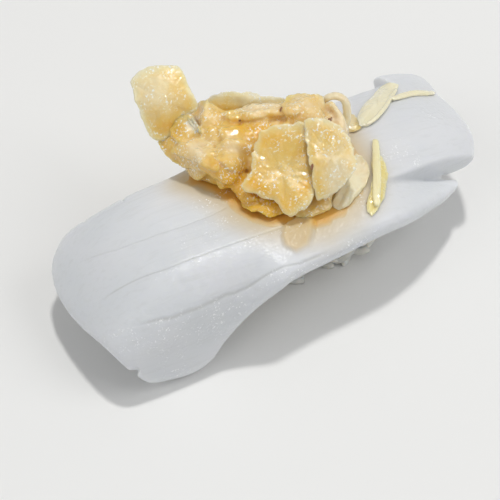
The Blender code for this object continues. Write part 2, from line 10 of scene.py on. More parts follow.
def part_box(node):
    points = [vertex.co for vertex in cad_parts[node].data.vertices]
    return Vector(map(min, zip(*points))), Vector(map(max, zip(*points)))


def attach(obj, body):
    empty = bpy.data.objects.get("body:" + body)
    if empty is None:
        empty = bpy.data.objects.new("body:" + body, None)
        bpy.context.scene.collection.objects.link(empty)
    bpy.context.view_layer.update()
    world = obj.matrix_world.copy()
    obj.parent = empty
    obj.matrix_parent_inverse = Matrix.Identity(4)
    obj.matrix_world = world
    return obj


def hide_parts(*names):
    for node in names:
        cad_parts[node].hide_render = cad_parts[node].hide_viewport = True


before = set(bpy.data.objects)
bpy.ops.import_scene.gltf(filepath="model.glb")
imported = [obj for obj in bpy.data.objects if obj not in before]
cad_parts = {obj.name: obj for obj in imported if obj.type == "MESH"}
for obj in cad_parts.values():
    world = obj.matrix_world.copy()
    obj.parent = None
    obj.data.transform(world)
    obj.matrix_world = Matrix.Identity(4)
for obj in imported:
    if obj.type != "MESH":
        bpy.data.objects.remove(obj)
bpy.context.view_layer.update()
mm = 0.001
print("stage: frame loaded")


# Picking, modifiers and copies

def pickOnly(*objects):
    bpy.ops.object.select_all(action="DESELECT")
    for one in objects:
        one.select_set(True)
    bpy.context.view_layer.objects.active = objects[0]


def applyModifiers(piece):
    pickOnly(piece)
    for step in list(piece.modifiers):
        bpy.ops.object.modifier_apply(modifier=step.name)


def copyOfNode(nodeName, pieceName):
    # the CAD mesh is loose triangles, so it is merged before anything else
    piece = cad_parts[nodeName].copy()
    piece.data = piece.data.copy()
    piece.name = pieceName
    for key in [key for key in piece.keys() if key.startswith("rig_")]:
        del piece[key]
    piece.parent = None
    bpy.context.scene.collection.objects.link(piece)
    pickOnly(piece)
    bpy.ops.object.mode_set(mode="EDIT")
    bpy.ops.mesh.select_all(action="SELECT")
    bpy.ops.mesh.remove_doubles(threshold=0.000001)
    bpy.ops.object.mode_set(mode="OBJECT")
    return piece


def remesh(piece, size):
    step = piece.modifiers.new("even", "REMESH")
    step.mode = "VOXEL"
    step.voxel_size = size
    applyModifiers(piece)


def smooth(piece, times, strength=0.5):
    step = piece.modifiers.new("soften", "SMOOTH")
    step.factor = strength
    step.iterations = times
    applyModifiers(piece)


def sculpt(piece, move):
    # every vertex goes along its normal by what move says for its place and normal
    normals = [vertex.normal.copy() for vertex in piece.data.vertices]
    for vertex, normal in zip(piece.data.vertices, normals):
        vertex.co += normal * move(vertex.co, normal)
    piece.data.update()


def paint(piece, name, share):
    # a number from 0 to 1 for each vertex, which the materials read
    layer = piece.data.attributes.new(name, "FLOAT", "POINT")
    for index, vertex in enumerate(piece.data.vertices):
        layer.data[index].value = share(vertex.co, vertex.normal)


def shadeSmooth(piece):
    pickOnly(piece)
    bpy.ops.object.shade_smooth()


def joinAll(pieces, name):
    pickOnly(*pieces)
    bpy.ops.object.join()
    made = bpy.context.view_layer.objects.active
    made.name = name
    return made


def settle(piece, look, slot, *nodes):
    piece.data.materials.clear()
    piece.data.materials.append(look)
    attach(piece, "root")
    if nodes:
        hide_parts(*nodes)


def bump3(place, wavelength, seed=0.0):
    # soft noise, about -1 to 1, for a place in metres
    return noise.noise(place / wavelength + Vector((seed, -seed, 2 * seed)))


def rise(low, high, value):
    share = min(1.0, max(0.0, (value - low) / (high - low)))
    return share * share * (3 - 2 * share)


# Camera, set first because some pieces are placed where the photograph shows them

cameraView = dict(
    azimuth=-30, elevation=50, distance=279, target=(-4.87, 0.24, 5.30), lens=101.9, sensor=36, frame=500,
)


pixelsPerMm = 5.07  # in the photograph, near the middle of the slice


def cameraAxes():
    turn, lift = math.radians(cameraView["azimuth"]), math.radians(cameraView["elevation"])
    back = Vector((math.sin(turn) * math.cos(lift), -math.cos(turn) * math.cos(lift), math.sin(lift)))
    right = Vector((math.cos(turn), math.sin(turn), 0))
    return right, back.cross(right), back


def setCamera():
    right, up, back = cameraAxes()
    data = bpy.data.cameras.new("photoCamera")
    data.lens = cameraView["lens"]
    data.sensor_width = cameraView["sensor"]
    data.clip_start = 0.01
    camera = bpy.data.objects.new("photoCamera", data)
    bpy.context.scene.collection.objects.link(camera)
    turned = Matrix((right, up, back)).transposed().to_4x4()
    turned.translation = (Vector(cameraView["target"]) + back * cameraView["distance"]) * mm
    camera.matrix_world = turned
    bpy.context.scene.camera = camera


def sightLine(spot):
    # from the camera through a pixel of the 500 pixel photograph
    right, up, back = cameraAxes()
    focal = cameraView["lens"] / cameraView["sensor"] * cameraView["frame"]
    half = cameraView["frame"] / 2
    way = (right * (spot[0] - half) / focal - up * (spot[1] - half) / focal - back).normalized()
    return (Vector(cameraView["target"]) + back * cameraView["distance"]) * mm, way


def firstHit(spot, trees):
    # how far along the line of sight through a pixel the nearest surface lies, and its normal
    start, way = sightLine(spot)
    hits = [tree.ray_cast(start, way) for tree in trees]
    hits = [(far, normal) for _, normal, _, far in hits if far is not None]
    return min(hits, key=lambda hit: hit[0]) if hits else (None, None)


def seenAt(place):
    # the pixel of the photograph where a place shows
    right, up, back = cameraAxes()
    away = place / mm - (Vector(cameraView["target"]) + back * cameraView["distance"])
    focal = cameraView["lens"] / cameraView["sensor"] * cameraView["frame"]
    half = cameraView["frame"] / 2
    far = -away.dot(back)
    return Vector((half + focal * away.dot(right) / far, half - focal * away.dot(up) / far))


setCamera()


# Node helpers for the materials

def newMaterial(name):
    look = bpy.data.materials.new(name)
    look.use_nodes = True
    tree = look.node_tree
    shader = tree.nodes["Principled BSDF"]
    coords = tree.nodes.new("ShaderNodeTexCoord")
    return look, tree, shader, coords.outputs["Object"]


def noiseNode(tree, coords, wavelength, detail=3.0, rough=0.55, stretch=(1, 1, 1), turn=0.0):
    # stretch makes it longer along x, y or z, once it is turned by an angle about z
    mapping = tree.nodes.new("ShaderNodeMapping")
    mapping.vector_type = "TEXTURE"
    mapping.inputs["Scale"].default_value = [wavelength * s for s in stretch]
    mapping.inputs["Rotation"].default_value = (0, 0, turn)
    made = tree.nodes.new("ShaderNodeTexNoise")
    made.inputs["Scale"].default_value = 1.0
    made.inputs["Detail"].default_value = detail
    made.inputs["Roughness"].default_value = rough
    tree.links.new(coords, mapping.inputs["Vector"])
    tree.links.new(mapping.outputs["Vector"], made.inputs["Vector"])
    return made.outputs["Fac"]


def cellNode(tree, coords, wavelength):
    mapping = tree.nodes.new("ShaderNodeMapping")
    mapping.inputs["Scale"].default_value = [1 / wavelength] * 3
    made = tree.nodes.new("ShaderNodeTexVoronoi")
    made.inputs["Scale"].default_value = 1.0
    tree.links.new(coords, mapping.inputs["Vector"])
    tree.links.new(mapping.outputs["Vector"], made.inputs["Vector"])
    return made.outputs["Distance"]


def beadsNode(tree, coords, wavelength):
    # small domes side by side, each of which catches the light somewhere
    gap = cellNode(tree, coords, wavelength)
    return mathNode(tree, "SUBTRACT", 1.0, mathNode(tree, "MULTIPLY", gap, gap))


def speckledNode(tree, coords, wavelength, low, high):
    # small uneven dots: 1 in a dot, 0 between them
    return rangeNode(tree, noiseNode(tree, coords, wavelength, detail=2, rough=0.6), low, high)


def attributeNode(tree, name):
    made = tree.nodes.new("ShaderNodeAttribute")
    made.attribute_name = name
    return made.outputs["Fac"]


def rangeNode(tree, value, low, high, newLow=0.0, newHigh=1.0):
    made = tree.nodes.new("ShaderNodeMapRange")
    made.inputs["From Min"].default_value = low
    made.inputs["From Max"].default_value = high
    made.inputs["To Min"].default_value = newLow
    made.inputs["To Max"].default_value = newHigh
    tree.links.new(value, made.inputs["Value"])
    return made.outputs["Result"]


def mathNode(tree, kind, first, second):
    made = tree.nodes.new("ShaderNodeMath")
    made.operation = kind
    for socket, value in zip(made.inputs, (first, second)):
        if isinstance(value, (int, float)):
            socket.default_value = value
        else:
            tree.links.new(value, socket)
    return made.outputs["Value"]


def mixColour(tree, share, first, second):
    made = tree.nodes.new("ShaderNodeMix")
    made.data_type = "RGBA"
    sockets = [socket for socket in made.inputs if socket.type == "RGBA"]
    for socket, value in zip(sockets, (first, second)):
        if isinstance(value, tuple):
            socket.default_value = (*value, 1.0)
        else:
            tree.links.new(value, socket)
    tree.links.new(share, made.inputs["Factor"])
    return next(socket for socket in made.outputs if socket.type == "RGBA")


def bumpNode(tree, height, distance, strength=1.0, under=None):
    made = tree.nodes.new("ShaderNodeBump")
    made.inputs["Distance"].default_value = distance
    made.inputs["Strength"].default_value = strength
    tree.links.new(height, made.inputs["Height"])
    if under:
        tree.links.new(under, made.inputs["Normal"])
    return made.outputs["Normal"]


# Squid slice

# its colours include a white for painted glints, a grey for painted shade in the knife lines, and a warm tint
# near the heap that is partly juice and partly painted shade
squid = dict(
    grain=0.40 * mm, ripple=0.03, scoreDepth=0.45, juiceRise=0.15, gelRise=0.5,
    milky=(0.735, 0.745, 0.765), cool=(0.70, 0.72, 0.74), warm=(0.66, 0.54, 0.33),
    juiceStain=(0.74, 0.42, 0.08), paintedGlint=(0.97, 0.98, 1.0), gel=(0.66, 0.50, 0.25), cut=(0.60, 0.61, 0.61),
    glow=1.6, fibreTurn=-8, lineTurn=-7, beadSize=0.62 * mm, beads=0.22, coat=0.35, coatRoughness=0.24,
)

# knife lines on it, in plan: the places they pass (mm), how deep and how wide they are
scores = [
    dict(path=[(-38.7, 5.8), (-32.4, 1.8), (-27.4, 0.2), (-20.6, -1.2), (-14.5, -1.6), (-9, -1.1)],
         depth=0.10, wide=0.16),
    dict(path=[(-39.5, -4.2), (-32.4, -6.2), (-26.8, -8.1), (-20.6, -9), (-13.6, -9.5), (-6.7, -10.3),
               (-1, -10.9)],
         depth=0.16, wide=0.17),
    dict(path=[(-36.5, -12.8), (-30.2, -15), (-24.9, -15.6), (-19.3, -15.7), (-12.1, -16.8), (-5, -18.1),
               (2, -18)],
         depth=0.18, wide=0.20),
    dict(path=[(-33.4, 12.4), (-29.5, 11.6), (-25.5, 11.1), (-20.3, 11.0), (-16, 11.2)],
         depth=0.05, wide=0.14),
    dict(path=[(-31.4, 10.9), (-27.5, 10.2), (-22.5, 9.9), (-18, 10.0)], depth=0.04, wide=0.14),
]

# where the wet skin crinkles and the painted glints go: bands beside the lines, and loose patches as (x, y,
# reach)
wetBands = [
    dict(path=[(-30, -7.9), (-20.6, -9.9), (-13.6, -10.4), (-6.7, -11.2), (-1, -11.8)],
         reach=0.6, strength=0.8),
    dict(path=[(-34, -14.6), (-30.2, -15.7), (-24.9, -16.5), (-19.3, -16.7), (-12.1, -17.7), (-5, -18.9),
               (12, -18.4)],
         reach=0.9, strength=1.0),
    dict(path=[(-42.5, -10.6), (-40.7, -12), (-37.8, -13.8), (-34, -15.2), (-30, -16.0)],
         reach=1.2, strength=1.0),
]
wetPatches = [(-13.8, 1.6, 2.2), (-9.8, 1.6, 1.8), (-12.1, -4.1, 2.0), (-16.1, -4.8, 2.8), (-21.5, -5, 1.6),
              (-9.1, -10.9, 2.0), (22.4, -4.5, 1.6), (25.7, -4.7, 2.4), (27.5, -7.5, 1.6), (13, -8.4, 2.2),
              (11.9, -11.8, 2.0), (37.5, 1.5, 2.5), (-31, -17.2, 2.6)]

# the edge of the juice that has soaked into it, in plan (mm)
juiceEdge = [(-13.6, 8.6), (-11.2, 3.9), (-9.8, 0.2), (-9.4, -3.5), (-7.1, -7.6), (-3.0, -10.9),
             (-0.4, -12.5), (2.7, -13.4), (5.1, -13.0), (8.2, -12.6), (12.5, -10.5), (16.5, -6), (17.5, 0),
             (18, 6), (10, 11), (-8, 16)]
gelEdge = [(-3.9, -10.4), (-5.4, -12.2), (-5.9, -14.2), (-4.6, -16.2), (-1.8, -15.9), (0.4, -13.6),
           (1.6, -11.8), (1, -10)]


def pathDistance(place, path):
    # how far a place is from a path in plan, in millimetres
    here = Vector((place.x, place.y)) / mm
    best = 1e9
    for start, end in zip(path, path[1:]):
        first, run = Vector(start), Vector(end) - Vector(start)
        share = min(1.0, max(0.0, (here - first).dot(run) / run.length_squared))
        best = min(best, (here - first - run * share).length)
    return best


def insideLoop(place, loop):
    x, y = place.x / mm, place.y / mm
    inside = False
    for (x1, y1), (x2, y2) in zip(loop, loop[1:] + loop[:1]):
        if (y1 > y) != (y2 > y) and x < x1 + (x2 - x1) * (y - y1) / (y2 - y1):
            inside = not inside
    return inside


def fading(place, path, reach=4.0):
    # 1 along a path, and falling to 0 near its two ends
    here = Vector((place.x, place.y)) / mm
    return rise(0, reach, (here - Vector(path[0])).length) * rise(0, reach, (here - Vector(path[-1])).length)


def wetness(place, normal):
    if normal.z < -0.2:
        return 0.0
    wet = 0.0
    for band in wetBands:
        wet = max(wet, band["strength"] * math.exp(-(pathDistance(place, band["path"]) / band["reach"]) ** 2))
    here = Vector((place.x, place.y)) / mm
    for x, y, reach in wetPatches:
        wet = max(wet, 0.75 * math.exp(-((here - Vector((x, y))).length / reach) ** 2))
    return min(1.0, wet)


def scoreShare(place, normal, width):
    # how much of a knife line a place has: 1 in the middle of a deep one
    if normal.z < 0.1:
        return 0.0
    share = 0.0
    for score in scores:
        off = pathDistance(place, score["path"])
        if off < 1.5:
            across = math.exp(-(off / score["wide"] / width) ** 2)
            share += score["depth"] * fading(place, score["path"]) * across
    return share


def stainAndShadeShare(place, normal):
    gap = pathDistance(place, juiceEdge) * (-1 if insideLoop(place, juiceEdge) else 1)
    soakAndShade = 1 - rise(-1.0, 1.3, gap + 0.6 * bump3(place, 1.8 * mm, 9))
    # a warm halo around the juice, partly juice tint and partly painted shade near the heap
    stainAndShadeHalo = 0.24 * (1 - rise(0.0, 8.0, gap)) ** 1.5
    return max(soakAndShade, stainAndShadeHalo) * rise(-0.1, 0.3, normal.z)


def gelShare(place, normal):
    # the pale drip that has run down from the juice
    gap = pathDistance(place, gelEdge) * (-1 if insideLoop(place, gelEdge) else 1)
    return (1 - rise(-0.7, 0.5, gap)) * rise(-0.1, 0.3, normal.z)


def pickFaces(piece, wanted):
    pickOnly(piece)
    bpy.ops.object.mode_set(mode="EDIT")
    bpy.ops.mesh.select_mode(type="FACE")
    bpy.ops.mesh.select_all(action="DESELECT")
    bpy.ops.object.mode_set(mode="OBJECT")
    for face in piece.data.polygons:
        face.select = wanted(face.center, face.normal)
    bpy.ops.object.mode_set(mode="EDIT")


def squidMaterial():
    look, tree, shader, coords = newMaterial("wetSquid")
    cloudy = noiseNode(tree, coords, 16 * mm, detail=1)
    body = mixColour(tree, rangeNode(tree, cloudy, 0.35, 0.65), squid["milky"], squid["cool"])
    # faint fibre lines of the flesh, darkened towards the same grey as the painted shade in the knife lines
    along = math.radians(squid["fibreTurn"])
    fibres = noiseNode(tree, coords, 0.8 * mm, detail=3, stretch=(22, 1, 1), turn=along)
    body = mixColour(tree, rangeNode(tree, fibres, 0.52, 0.75, 0.0, 0.30), body, squid["cut"])
    # painted shade in the knife lines
    body = mixColour(tree, rangeNode(tree, attributeNode(tree, "cut"), 0.0, 0.2), body, squid["cut"])
    # the warm tint of that halo: partly juice and partly painted shade
    body = mixColour(tree, rangeNode(tree, attributeNode(tree, "juice"), 0.0, 0.3), body, squid["warm"])
    stain = rangeNode(tree, attributeNode(tree, "juice"), 0.25, 1.0)
    body = mixColour(tree, stain, body, squid["juiceStain"])
    body = mixColour(tree, rangeNode(tree, attributeNode(tree, "gel"), 0.0, 1.3), body, squid["gel"])
    # painted glints: little white dots in the colour where the skin crinkles
    wet = mathNode(tree, "MULTIPLY", rangeNode(tree, attributeNode(tree, "wet"), 0.05, 0.8),
                   rangeNode(tree, noiseNode(tree, coords, 1.5 * mm, detail=1), 0.45, 0.58))
    paintedGlints = mathNode(tree, "MULTIPLY", speckledNode(tree, coords, 0.42 * mm, 0.58, 0.64), wet)
    tree.links.new(mixColour(tree, paintedGlints, body, squid["paintedGlint"]), shader.inputs["Base Color"])
    along = math.radians(squid["lineTurn"])
    lines = noiseNode(tree, coords, 0.5 * mm, detail=1, stretch=(24, 1, 1), turn=along)
    normal = bumpNode(tree, noiseNode(tree, coords, 1.4 * mm, detail=2), 0.05 * mm)
    normal = bumpNode(tree, lines, 0.02 * mm, under=normal)
    tree.links.new(normal, shader.inputs["Normal"])
    # the wet skin on top glints there, and the milky flesh under it stays smooth
    where = mathNode(tree, "ADD", wet, squid["beads"])
    glints = mathNode(tree, "MULTIPLY", beadsNode(tree, coords, squid["beadSize"]), where)
    tree.links.new(bumpNode(tree, glints, 0.32 * mm), shader.inputs["Coat Normal"])
    dull = noiseNode(tree, coords, 2.5 * mm, detail=3)
    dull = rangeNode(tree, dull, 0.3, 0.7, 0.38, 0.50)
    tree.links.new(dull, shader.inputs["Roughness"])
    shader.inputs["IOR"].default_value = 1.38
    shader.inputs["Subsurface Weight"].default_value = 1.0
    shader.inputs["Subsurface Radius"].default_value = (squid["glow"], squid["glow"], squid["glow"] * 1.1)
    shader.inputs["Subsurface Scale"].default_value = mm
    shader.inputs["Coat Weight"].default_value = squid["coat"]
    shader.inputs["Coat Roughness"].default_value = squid["coatRoughness"]
    shader.inputs["Coat IOR"].default_value = 1.45
    return look


# small notches in its outline: pixel of the photograph, reach, and how far it is pushed in, right and down
nicks = [((134, 372), 3.2, (5.5, -3.5)), ((102, 352), 2.2, (2.0, -2.0)), ((83.6, 220), 1.6, (0.8, 2.2)),
         ((123.4, 199), 1.6, (0.8, 2.0)), ((418, 187), 2.0, (-1.0, -1.0)), ((454, 199), 2.2, (-1.5, -1.5)),
         ((398, 220), 2.0, (-0.5, -1.2))]


def pushIn(piece, nicks):
    # moves what shows near some pixels of the photograph across the line of sight
    right, up, back = cameraAxes()
    for vertex in piece.data.vertices:
        spot = seenAt(vertex.co)
        for middle, reach, (x, y) in nicks:
            near = math.exp(-((spot - Vector(middle)).length / reach) ** 2)
            if near > 0.01:
                vertex.co += (right * x - up * y) * near * mm / pixelsPerMm
    piece.data.update()


def squidRelief(place, normal):
    # the knife lines are cut in, and the juice and its drip stand up a little
    high = squid["ripple"] * bump3(place, 2.6 * mm) - squid["scoreDepth"] * scoreShare(place, normal, 1.0)
    high += squid["juiceRise"] * stainAndShadeShare(place, normal)
    return mm * (high + squid["gelRise"] * gelShare(place, normal))


def makeSquid():
    piece = copyOfNode("squid_slice", "squidSlice")
    remesh(piece, squid["grain"])
    smooth(piece, 10)
    pickFaces(piece, lambda place, normal: normal.z > 0.1 and
              any(pathDistance(place, score["path"]) < 0.8 for score in scores))
    bpy.ops.mesh.subdivide(number_cuts=2)
    bpy.ops.object.mode_set(mode="OBJECT")
    pushIn(piece, nicks)
    sculpt(piece, squidRelief)
    # wet places the coat beads and the painted glints, the knife lines get painted shade, and the juice mark
    # holds the stain with a halo that is partly painted shade
    paint(piece, "wet", wetness)
    paint(piece, "cut", lambda place, normal: scoreShare(place, normal, 0.9))
    paint(piece, "juice", stainAndShadeShare)
    paint(piece, "gel", gelShare)
    shadeSmooth(piece)
    settle(piece, squidMaterial(), "squid", "squid_slice")
    return piece


def treeOf(*pieces):
    # one search tree over several meshes
    points, faces = [], []
    for piece in pieces:
        first = len(points)
        points += [vertex.co.copy() for vertex in piece.data.vertices]
        faces += [[first + i for i in face.vertices] for face in piece.data.polygons]
    return BVHTree.FromPolygons(points, faces)


squidSlice = makeSquid()
sliceTree = treeOf(squidSlice)
print("stage: squid", len(squidSlice.data.polygons))


# Rice: single grains over a core of their own

rice = dict(
    length=6.2, width=2.5, spacing=2.05, seed=3, tries=9000, sizes=(0.88, 1.1), lean=0.35,
    coreGrain=0.8 * mm, shrink=1.6 * mm, proud=0.1 * mm,
    white=(0.80, 0.78, 0.72), clear=(0.66, 0.64, 0.58),
)


def riceMaterial():
    look, tree, shader, coords = newMaterial("cookedRice")
    chalky = noiseNode(tree, coords, 2.2 * mm, detail=2)
    tree.links.new(mixColour(tree, rangeNode(tree, chalky, 0.3, 0.7), rice["clear"], rice["white"]),
                   shader.inputs["Base Color"])
    tree.links.new(bumpNode(tree, noiseNode(tree, coords, 0.5 * mm), 0.06 * mm), shader.inputs["Normal"])
    tree.links.new(rangeNode(tree, chalky, 0.3, 0.7, 0.3, 0.5), shader.inputs["Roughness"])
    shader.inputs["Subsurface Weight"].default_value = 0.8
    shader.inputs["Subsurface Radius"].default_value = (1.2, 1.0, 0.8)
    shader.inputs["Subsurface Scale"].default_value = mm
    shader.inputs["Coat Weight"].default_value = 0.3
    shader.inputs["Coat Roughness"].default_value = 0.25
    return look


def grainShape():
    bpy.ops.object.select_all(action="DESELECT")
    bpy.ops.mesh.primitive_uv_sphere_add(segments=12, ring_count=9, radius=0.5)
    grain = bpy.context.view_layer.objects.active
    for vertex in grain.data.vertices:
        x, y, z = vertex.co
        plump = 1.0 - 0.35 * z * z
        vertex.co = Vector((x * rice["width"] * plump + 0.5 * z * z, y * rice["width"] * 0.9 * plump,
                            z * rice["length"])) * mm
    return grain


def spotsOn(piece, spacing, seed, tries):
    # places spread over a mesh, each at least this far from the others
    picker = random.Random(seed)
    faces = list(piece.data.polygons)
    areas = [face.area for face in faces]
    found = []
    cells = {}
    for face in picker.choices(faces, areas, k=tries):
        corners = [piece.data.vertices[i].co for i in face.vertices]
        shares = [picker.random() for _ in corners]
        place = sum((corner * share for corner, share in zip(corners, shares)), Vector()) / sum(shares)
        key = tuple(int(math.floor(c / spacing)) for c in place)
        near = (cells.get((key[0] + i, key[1] + j, key[2] + k), ())
                for i in (-1, 0, 1) for j in (-1, 0, 1) for k in (-1, 0, 1))
        if all((place - other).length > spacing for group in near for other in group):
            cells.setdefault(key, []).append(place)
            found.append((place, face.normal.copy()))
    return found


def makeRice():
    core = copyOfNode("rice", "riceCore")
    remesh(core, rice["coreGrain"])
    smooth(core, 6)
    sculpt(core, lambda place, normal: -rice["shrink"] if place.z > 0.5 * mm else 0.0)
    for vertex in core.data.vertices:
        vertex.co.z = max(vertex.co.z, 0.0)
    picker = random.Random(rice["seed"])
    first = grainShape()
    grains = []
    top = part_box("rice")[1].z
    for place, normal in spotsOn(core, rice["spacing"] * mm, rice["seed"], rice["tries"]):
        grain = first.copy()
        grain.data = first.data.copy()
        bpy.context.scene.collection.objects.link(grain)
        angle = picker.uniform(0, math.tau)
        aside = normal.orthogonal().normalized()
        heading = aside * math.cos(angle) + normal.cross(aside) * math.sin(angle)
        heading += normal * picker.uniform(-rice["lean"], rice["lean"])
        turned = heading.to_track_quat("Z", "Y").to_matrix().to_4x4()
        turned = turned @ Matrix.Rotation(picker.uniform(0, math.tau), 4, "Z")
        size = picker.uniform(*rice["sizes"])
        middle = Matrix.Translation(place + normal * rice["proud"])
        grain.data.transform(middle @ turned @ Matrix.Scale(size, 4))
        for vertex in grain.data.vertices:
            vertex.co.z = min(max(vertex.co.z, 0.0), top)
        grains.append(grain)
    bpy.data.objects.remove(first, do_unlink=True)
    look = riceMaterial()
    shadeSmooth(core)
    settle(core, look, "rice", "rice")
    joined = joinAll(grains, "riceGrains")
    shadeSmooth(joined)
    settle(joined, look, "rice", "rice")
    return joined


riceGrains = makeRice()
print("stage: rice", len(riceGrains.data.polygons))


# Relish: the heap, thin shavings fused onto it, large ones standing on it, and loose shreds

# its colours from pale to soaked in juice, those of the loose pieces beside it, and the white of its painted
# glints
relish = dict(
    cream=(0.85, 0.70, 0.44), honey=(0.81, 0.55, 0.14), juice=(0.80, 0.46, 0.03), rim=(0.88, 0.75, 0.48),
    paintedGlint=(0.98, 0.95, 0.86), speck=(0.30, 0.12, 0.02), yellow=(0.82, 0.70, 0.28), lemon=(0.90, 0.83, 0.52),
    pale=(0.90, 0.83, 0.60), glow=1.5, glintDotSize=0.45 * mm, beadSize=0.70 * mm,
    coatRoughness=0.06, coatIor=1.6, coreGrain=0.40 * mm, grain=0.24 * mm, coarse=0.20, fine=0.09,
)

# where it is soaked with juice (above 0) or paler (below 0): pixel of the photograph, reach, how much. Some
# spots are painted shade, darker under the front slice, and some painted light, paler on the back slice where
# light grazes it
soakAndShadeSpots = [(236, 184, 17, 0.7), (254, 203, 18, 0.8), (214, 166, 11, 0.4), (278, 214, 14, 0.6),
               (258, 133, 15, 0.5), (245, 99, 13, -0.4), (270, 101, 11, -0.4), (220, 97, 10, -0.4),
               (240, 124, 12, 0.3), (172, 128, 11, 0.45), (303, 150, 9, 0.3), (309, 186, 9, 0.5),
               (166, 142, 9, 0.2), (198, 150, 12, -0.4), (234, 148, 10, -0.35), (300, 104, 16, -0.25),
               (150, 90, 26, -0.5), (255, 108, 14, -0.3), (350, 124, 10, -0.4), (340, 165, 22, -0.35),
               (205, 112, 9, -0.2), (192, 125, 6, -0.7), (262, 190, 6, 0.2), (350, 190, 18, -0.5),
               (338, 110, 14, -0.5)]


def soakAndShadeShare(place, normal):
    spot = seenAt(place)
    share = 0.46 + 0.16 * bump3(place, 3.5 * mm, 6)
    for x, y, reach, much in soakAndShadeSpots:
        share += much * math.exp(-((spot - Vector((x, y))).length / reach) ** 2)
    return min(1.0, max(0.0, share))


def relishMaterial(name, pale, middle, deep, rim, gritAndGlints=1.0, glow=relish["glow"], fibres=None):
    look, tree, shader, coords = newMaterial(name)
    # colour from pale to soaked by the painted spots, which carry painted shade and painted light as well as
    # juice, with random tone
    share = mathNode(tree, "ADD", attributeNode(tree, "soakAndShade"),
                     rangeNode(tree, noiseNode(tree, coords, 1.5 * mm, detail=3), 0.3, 0.7, -0.12, 0.12))
    body = mixColour(tree, rangeNode(tree, share, 0.0, 0.5), pale, middle)
    body = mixColour(tree, rangeNode(tree, share, 0.5, 1.0), body, deep)
    edge = rangeNode(tree, attributeNode(tree, "edge"), 0.78, 1.0, 0.0, 0.6)
    body = mixColour(tree, edge, body, rim)
    # fine wet grains in the coat bump, in some places more than in others, and painted glints: white dots in
    # the colour over them
    where = rangeNode(tree, noiseNode(tree, coords, 3.2 * mm, detail=2), 0.44, 0.58, 0.10, 1.0)
    paintedGlints = mathNode(tree, "MULTIPLY", speckledNode(tree, coords, relish["glintDotSize"], 0.56, 0.64), where)
    paintedGlints = mathNode(tree, "MULTIPLY", paintedGlints, gritAndGlints)
    tree.links.new(mixColour(tree, paintedGlints, body, relish["paintedGlint"]), shader.inputs["Base Color"])
    normal = bumpNode(tree, noiseNode(tree, coords, 1.3 * mm, detail=2), 0.09 * mm)
    if fibres is not None:
        streaks = noiseNode(tree, coords, 0.5 * mm, detail=2, stretch=(9, 1, 1), turn=math.radians(fibres))
        normal = bumpNode(tree, streaks, 0.12 * mm, under=normal)
    tree.links.new(normal, shader.inputs["Normal"])
    wet = mathNode(tree, "MULTIPLY", beadsNode(tree, coords, relish["beadSize"]), where)
    wet = bumpNode(tree, wet, 0.3 * gritAndGlints * mm, under=normal)
    tree.links.new(wet, shader.inputs["Coat Normal"])
    tree.links.new(rangeNode(tree, where, 0.0, 1.0, 0.40, 0.28), shader.inputs["Roughness"])
    shader.inputs["IOR"].default_value = 1.4
    shader.inputs["Subsurface Weight"].default_value = 1.0
    shader.inputs["Subsurface Radius"].default_value = (glow, glow, glow)
    shader.inputs["Subsurface Scale"].default_value = mm
    shader.inputs["Coat Weight"].default_value = 1.0
    shader.inputs["Coat Roughness"].default_value = relish["coatRoughness"]
    shader.inputs["Coat IOR"].default_value = relish["coatIor"]
    return look


def roughen(piece, coarse, fine, seed=0.0):
    sculpt(piece, lambda place, normal: coarse * mm * bump3(place, 1.6 * mm, seed)
           + fine * mm * bump3(place, 0.55 * mm, seed + 3))


class edgeLoop:
    # a closed edge through its corners, walked from 0 to 1 by length, with its corners a little rounded
    def __init__(self, corners, tension=0.26):
        self.corners = [Vector(corner) for corner in corners]
        self.tension = tension
        count = len(self.corners)
        lengths = [(self.corners[(i + 1) % count] - self.corners[i]).length for i in range(count)]
        self.starts = [sum(lengths[:i]) / sum(lengths) for i in range(count)] + [1.0]
        self.middle = sum(self.corners, Vector((0,) * len(self.corners[0]))) / count

    def at(self, share):
        share = share % 1.0
        count = len(self.corners)
        index = max(i for i in range(count) if self.starts[i] <= share)
        t = (share - self.starts[index]) / (self.starts[index + 1] - self.starts[index])
        before, start, end, after = [self.corners[(index + i) % count] for i in (-1, 0, 1, 2)]
        out, back = (end - before) * self.tension, (after - start) * self.tension
        return (start * (2 * t**3 - 3 * t**2 + 1) + out * (t**3 - 2 * t**2 + t)
                + end * (3 * t**2 - 2 * t**3) + back * (t**3 - t**2))

    def torn(self, share, ragged, scale, seed):
        # the same, torn in and out by this much. Scale is the length of a millimetre in its own units
        place = self.at(share)
        here = place.to_3d() / scale * mm
        off = bump3(here, 1.6 * mm, seed) + 0.45 * bump3(here, 0.5 * mm, seed + 4)
        return place + (place - self.middle).normalized() * off * ragged * scale


def aroundAndOut(place):
    # a place on the square grid as a share of the way round its edge, and how far out it lies
    a, b = place.x, place.y
    far = max(abs(a), abs(b))
    if far < 1e-6:
        return 0.0, 0.0
    if abs(b) >= abs(a):
        return ((1 + a / far) / 8 if b < 0 else (5 - a / far) / 8), far
    return ((3 + b / far) / 8 if a > 0 else (7 - b / far) / 8), far


def newGrid(name, cells):
    bpy.ops.object.select_all(action="DESELECT")
    bpy.ops.mesh.primitive_grid_add(x_subdivisions=cells, y_subdivisions=cells, size=2)
    piece = bpy.context.view_layer.objects.active
    piece.name = name
    paint(piece, "edge", lambda place, normal: aroundAndOut(place)[1])
    return piece


